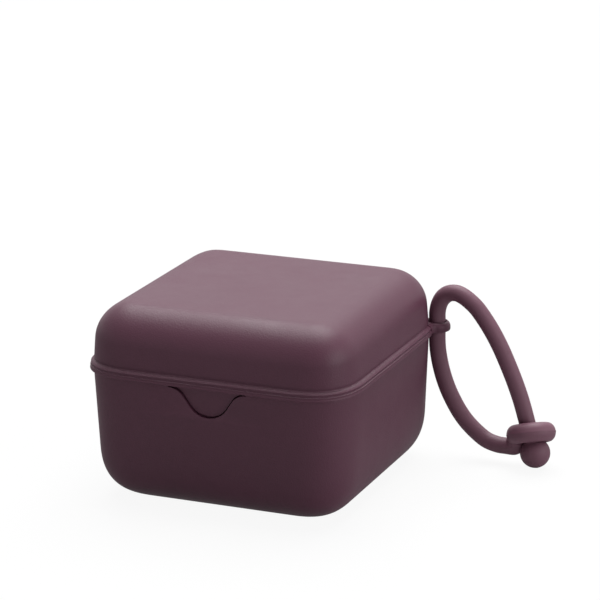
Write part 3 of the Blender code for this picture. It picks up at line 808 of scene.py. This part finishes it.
def makeTongue():
    b, e = bell, bell["edge"]
    face, back = b["recess"], b["recess"] + b["thickness"]
    depths = [(face, -e), (face + e * 0.06, -e * 0.62), (face + e * 0.3, -e * 0.3),
              (face + e * 0.62, -e * 0.06), (face + e, 0.0), (back, 0.0)]
    tongue = bellLoft("pressTongue", depths, -1, plan["lidFoot"] - 0.1, b["wingShare"])
    slitZ = b["footHeight"]
    wallBack = tubInset(slitZ) - plan["halfWidth"] + plan["wall"]
    below, above = b["legSpan"]
    front, top, foot = wallBack + b["legClear"], slitZ + above, slitZ - below
    root = tubInset(top) - plan["halfWidth"] + back - 0.2
    rear, corner, (kneeLow, kneeHigh) = front + b["legThick"], b["legCorner"], b["legKnee"]
    leg = [(root, top), (root, slitZ + kneeHigh), (front, slitZ + kneeLow)]
    leg += [(front + y, foot + z) for y, z in b["nose"]]
    leg += [(front, foot), (rear - corner, foot), (rear, foot + corner), (rear, top - corner),
            (rear - corner, top)]
    return joined(tongue, (webPlate("snap leg", [(y * mm, z * mm) for y, z in leg], -b["legHalf"] * mm,
                                    b["legHalf"] * mm, 0.12 * mm), "UNION"))


pressTongue = dressed(makeTongue(), shellFinish, "tongue", "shell_plastic", "latch_tongue")

# Lid: domed top, rim, lip inside the tub, eyelet, and the middle hinge knuckle
lidShape = {
    "draft": 0.92,
    "draftCurve": 1.2,
    "roundIn": 11.1,
    "roundUp": 11.0,
    "roundPower": 2.0,
    "follow": 1.45,
    "roundSteps": 36,
    "crown": 0.5,
    # The rim, as (how proud, height above the lid's foot): a band, a valley, a low bead and a fine groove
    "rim": [
        (0.60, 0.0), (1.08, 0.02), (1.20, 0.08), (1.26, 0.20), (1.27, 0.32), (1.22, 0.48), (1.16, 0.64),
        (1.13, 0.80), (1.14, 1.00), (1.17, 1.16), (1.18, 1.25), (1.15, 1.33), (1.02, 1.40), (0.88, 1.47),
        (0.84, 1.58), (0.83, 1.72), (0.86, 1.86), (0.92, 2.02), (0.95, 2.16), (0.94, 2.30), (0.88, 2.44),
        (0.78, 2.58), (0.64, 2.70), (0.46, 2.79), (0.27, 2.86), (0.10, 2.93), (-0.06, 3.02), (-0.14, 3.18),
        (-0.15, 3.32), (-0.11, 3.50), (-0.05, 3.72), (0.0, 3.95)],
    "bead": (0.95, 2.16),             # the bead's crest, where the hinge web meets it
    "bandProud": 1.26,
    "leanFrom": 2.3,                  # above this height the rim leans in with the lid's wall
    "lip": (3.35, 1.2),               # depth, thickness
    "lipGap": 0.3,                    # from the lip to the tub's wall
    # The lip's foot: (past its inner face, corner follow, height) and (past its outer face, height)
    "lipIn": [(0.2, 1.45, 0.5), (0.15, 1.45, 0.15), (-0.05, 1.3, 0.0)],
    "lipOut": [(0.45, 0.0), (0.15, 0.12), (0.0, 0.45)],
    "tongueRoom": 13.6,               # half the width that is cut from the lip behind the tongue
    "swingRoom": 13.0,                # and how far from the rear it is cut, so that the lid can swing
}
eyelet = {
    "radius": 4.3,
    "flare": 2.0,                     # hollow where the lug runs out into the rim
    "hole": 3.05,
    "bite": 0.1,                      # how far the hollows reach into the band
    "top": 46.28,
    "profile": [                      # inset of the lug's outline, height
        (0.75, 42.95), (0.35, 42.98), (0.12, 43.12), (0.0, 43.35), (-0.05, 43.8), (-0.05, 44.3),
        (0.0, 44.75), (0.15, 45.2), (0.42, 45.65), (0.8, 46.0), (1.25, 46.2), (1.75, 46.28)],
    "holeFoot": [(-1.0, 1.3), (0.0, 0.3), (0.1, 0.12), (0.35, 0.0)],   # above the foot, growth of the hole
    "holeTop": [(-0.58, 0.0), (-0.23, 0.1), (-0.06, 0.3), (0.02, 0.6), (1.0, 1.6)],
    "root": 7.0,                      # how far inside the lid the lug starts
    "flareTurn": 75,                  # degrees of each hollow
}


def lidInset(z):
    share = (z - plan["lidFoot"]) / (plan["top"] - plan["lidFoot"])
    return lidShape["draft"] * share + lidShape["draftCurve"] * share ** 2


def lidWall(skin, foot):
    s = lidShape
    inward, upward, top = s["roundIn"] - skin, s["roundUp"] - skin, plan["top"] - skin
    start = top - upward
    line = [(skin + lidInset(foot + (start - foot) * k / 3), s["follow"], foot + (start - foot) * k / 3)
            for k in range(3)]
    for k in range(s["roundSteps"] + 1):
        share = math.sin(math.pi / 2 * k / s["roundSteps"])
        z = start + upward * share
        bend = 1 - (1 - share ** s["roundPower"]) ** (1 / s["roundPower"])
        line.append((skin + lidInset(z) + inward * bend, s["follow"], z))
    return line


def rimLine():                                       # from the parting face up over the band and the bead
    s, foot = lidShape, plan["lidFoot"]
    return [(lidInset(foot + rise) * (rise > s["leanFrom"]) - proud, s["follow"], foot + rise)
            for proud, rise in s["rim"]]


def makeLid():
    s, p = lidShape, plan
    foot, wall = p["lidFoot"], p["wall"]
    depth, thick = s["lip"]
    lipOut, lipFoot = wall + s["lipGap"], foot - depth
    lipIn = lipOut + thick
    lean = lipOut + tubInset(lipFoot)
    inner = lidWall(wall, foot + 2.5)
    rimTop = s["rim"][-1][1]
    outer = lidWall(0.0, foot + rimTop + 0.3)
    profile = list(reversed(flatDisc(inner[-1][0], s["follow"], inner[-1][2], 12, s["crown"])))
    profile += list(reversed(inner))
    profile += [(lipIn, s["follow"], foot + 1.0)]
    profile += [(lipIn + inset, follow, lipFoot + rise) for inset, follow, rise in s["lipIn"]]
    profile += [(lean + inset, tubShape["follow"], lipFoot + rise) for inset, rise in s["lipOut"]]
    profile += [(lipOut, tubShape["follow"], foot - 0.15), (lipOut - 0.1, tubShape["follow"], foot)]
    profile += rimLine()
    profile += outer
    profile += flatDisc(outer[-1][0], s["follow"], p["top"], 16, s["crown"])
    lid = loftShell("lidShell", profile)

    half, wrap = p["halfWidth"], hinge["radius"] * hinge["webWrap"]
    inside, outside = half - lidWeb["inWall"], half + lidWeb["outWall"]
    into, up, bendRadius = lidWeb["shoulder"]
    web = [(inside, foot + 1.9), (inside, foot), (outside, foot), (outside, hinge["z"])]
    web += arc((hinge["y"], hinge["z"]), wrap, -90, 0, 8)
    web += [(hinge["y"] + wrap, hinge["z"] + lidWeb["rise"])]
    web += arc((hinge["y"] + hinge["radius"] - into, foot + up), bendRadius, 0, 60, 6)
    web += [(half + s["bead"][0] - 0.1, foot + s["bead"][1])]
    k = hinge["lidKnuckle"]
    x, y = strap["eyelet"]
    r = eyelet["hole"]
    hole = [(foot + rise, r + growth) for rise, growth in eyelet["holeFoot"]]
    hole += [(eyelet["top"] + rise, r + growth) for rise, growth in eyelet["holeTop"]]
    room, swing = s["tongueRoom"], s["swingRoom"]
    tools = [
        (eyeletLug(), "UNION"),
        (webPlate("lid web", [(a * mm, b * mm) for a, b in web], -k * mm, k * mm, hinge["edge"] * mm),
         "UNION"),
        (knuckle("lid knuckle", -k, k), "UNION"),
        (blockBetween("room behind tongue", (-room, -half + wall - s["lipGap"], lipFoot - 1),
                      (room, -half + 2 * wall + thick, foot)), "DIFFERENCE"),
        (blockBetween("room for the swing", (-half, half - swing, lipFoot - 1), (half, half, foot)),
         "DIFFERENCE"),
        (bore("lid pin bore", k + 1), "DIFFERENCE"),
        (turned("cord hole", [(z * mm, r * mm) for z, r in hole], Vector((x, y, 0)) * mm,
                Vector((0, 0, 1)), 72), "DIFFERENCE"),
    ]
    return joined(lid, *tools)


def planPoint(angle, inset):                         # on the first quarter of the soft square
    power = 2 / plan["cornerPower"]
    half = plan["halfWidth"] - inset
    corner = plan["cornerRadius"] - inset * lidShape["follow"]
    return Vector((half - corner + corner * math.cos(angle) ** power,
                   half - corner + corner * math.sin(angle) ** power))


def flareCentres():                                  # the hollows touch the lug's circle and the rim's band
    hub = Vector(strap["eyelet"])
    reach = eyelet["radius"] + eyelet["flare"]
    offset = -(lidShape["bandProud"] - eyelet["bite"] + eyelet["flare"])
    steps = 400
    places = [planPoint(math.pi / 2 * k / steps, offset) for k in range(steps + 1)]
    near = min(range(steps + 1), key=lambda k: (places[k] - hub).length)

    def touching(side):
        return min(side, key=lambda q: abs((q - hub).length - reach))

    return touching(places[:near]), touching(places[near + 1:])


def lugOutline(inset):
    hub = Vector(strap["eyelet"])
    radius, flare = eyelet["radius"] - inset, eyelet["flare"] + inset
    front, rear = flareCentres()

    def heading(a, b):
        return math.degrees(math.atan2((b - a).y, (b - a).x))

    outline = [(plan["halfWidth"] - eyelet["root"], strap["eyelet"][1] - eyelet["root"])]
    outline += arc(front, flare, heading(front, hub) + eyelet["flareTurn"], heading(front, hub), 12)
    outline += arc(hub, radius, heading(hub, front), heading(hub, rear), 48)[1:-1]
    outline += arc(rear, flare, heading(rear, hub), heading(rear, hub) - eyelet["flareTurn"], 12)
    return outline


def eyeletLug():
    return skinned("eyelet lug", [[(x * mm, y * mm, z * mm) for x, y in lugOutline(inset)]
                                  for inset, z in eyelet["profile"]])


lidShell = dressed(makeLid(), shellFinish, "lid", "shell_plastic", "lid_shell")


def makePin():
    reach, r = hinge["tubKnuckle"][1], hinge["pin"]
    profile = [(-reach + a, r * share) for a, share in hinge["pinEnd"]]
    profile += [(reach - a, r * share) for a, share in reversed(hinge["pinEnd"])]
    return onHinge("hingePin", profile, 48)


hingePin = dressed(makePin(), shellFinish, "tub", "shell_plastic", "hinge_pin")
print("shells, tongue and pin made")

# Studio: a pale floor, a white room, one large lamp overhead and one at the right
studio = {
    "floorColour": (0.64, 0.64, 0.64),
    "floorShown": 0.92,               # how bright the bare floor is to the camera
    "floorShade": 0.06,               # how much of the lamps' light the shown floor takes, so shadows stay
    "floorMirrored": 0.32,            # how bright it is to the glossy rays
    "floorSize": 6.0,                 # metres from the middle to its edges
    "floorDrop": 0.02,                # mm below the box
    "room": 0.12,
    "roomShown": 1.0,
}
lamps = {
    "overhead": {"place": (-0.08, 0.48, 1.3), "aim": (0.0, 0.0, 0.03), "size": 1.25, "radiance": 6.6},
    "right": {"place": (1.5, -0.1, 0.25), "aim": (0.0, 0.0, 0.03), "size": 1.5, "radiance": 2.2},
}


def shownRays(tree):                                 # camera, glossy and transmission rays; glossy alone
    path = tree.nodes.new("ShaderNodeLightPath").outputs
    seen = maths(tree, "MAXIMUM", path["Is Camera Ray"], path["Is Glossy Ray"])
    return maths(tree, "MAXIMUM", seen, path["Is Transmission Ray"]), path["Is Glossy Ray"]


def makeFloor(v):
    bm = bmesh.new()
    bmesh.ops.create_grid(bm, x_segments=1, y_segments=1, size=v["floorSize"])
    floor = linkMesh("studioFloor", bm)
    floor.data.transform(Matrix.Translation((0, 0, -v["floorDrop"] * mm)))
    look = bpy.data.materials.new("pale floor")
    look.use_nodes = True
    tree = look.node_tree
    tree.nodes.clear()
    plain = node(tree, "ShaderNodeBsdfDiffuse", "BSDF", color=(*v["floorColour"], 1))
    shaded = node(tree, "ShaderNodeBsdfDiffuse", "BSDF", color=(v["floorShade"],) * 3 + (1,))
    shown, mirrored = shownRays(tree)
    strength = maths(tree, "MULTIPLY_ADD", mirrored, v["floorMirrored"] - v["floorShown"], v["floorShown"])
    glow = node(tree, "ShaderNodeEmission", "Emission", strength=strength)
    add = tree.nodes.new("ShaderNodeAddShader")
    tree.links.new(shaded, add.inputs[0])
    tree.links.new(glow, add.inputs[1])
    mix = tree.nodes.new("ShaderNodeMixShader")
    tree.links.new(shown, mix.inputs[0])
    tree.links.new(plain, mix.inputs[1])
    tree.links.new(add.outputs[0], mix.inputs[2])
    tree.links.new(mix.outputs[0], tree.nodes.new("ShaderNodeOutputMaterial").inputs["Surface"])
    floor.data.materials.append(look)


def makeRoom(v):
    world = bpy.data.worlds.new("white room")
    world.use_nodes = True
    tree = world.node_tree
    back = tree.nodes["Background"]
    back.inputs["Color"].default_value = (1, 1, 1, 1)
    strength = maths(tree, "MULTIPLY_ADD", shownRays(tree)[0], v["roomShown"] - v["room"], v["room"])
    tree.links.new(strength, back.inputs["Strength"])
    bpy.context.scene.world = world


def hangLamp(name, v):
    lamp = bpy.data.lights.new(name, "AREA")
    lamp.shape = "SQUARE"
    lamp.size = v["size"]
    lamp.energy = v["radiance"] * math.pi * v["size"] ** 2
    obj = bpy.data.objects.new(name, lamp)
    bpy.context.scene.collection.objects.link(obj)
    away = Vector(v["place"]) - Vector(v["aim"])
    obj.matrix_world = Matrix.Translation(v["place"]) @ away.to_track_quat("Z", "Y").to_matrix().to_4x4()
    obj.visible_camera = False


makeFloor(studio)
makeRoom(studio)
for lampName, lampSizes in lamps.items():
    hangLamp(lampName, lampSizes)
bpy.context.scene.view_settings.view_transform = "Standard"
print("studio lit")
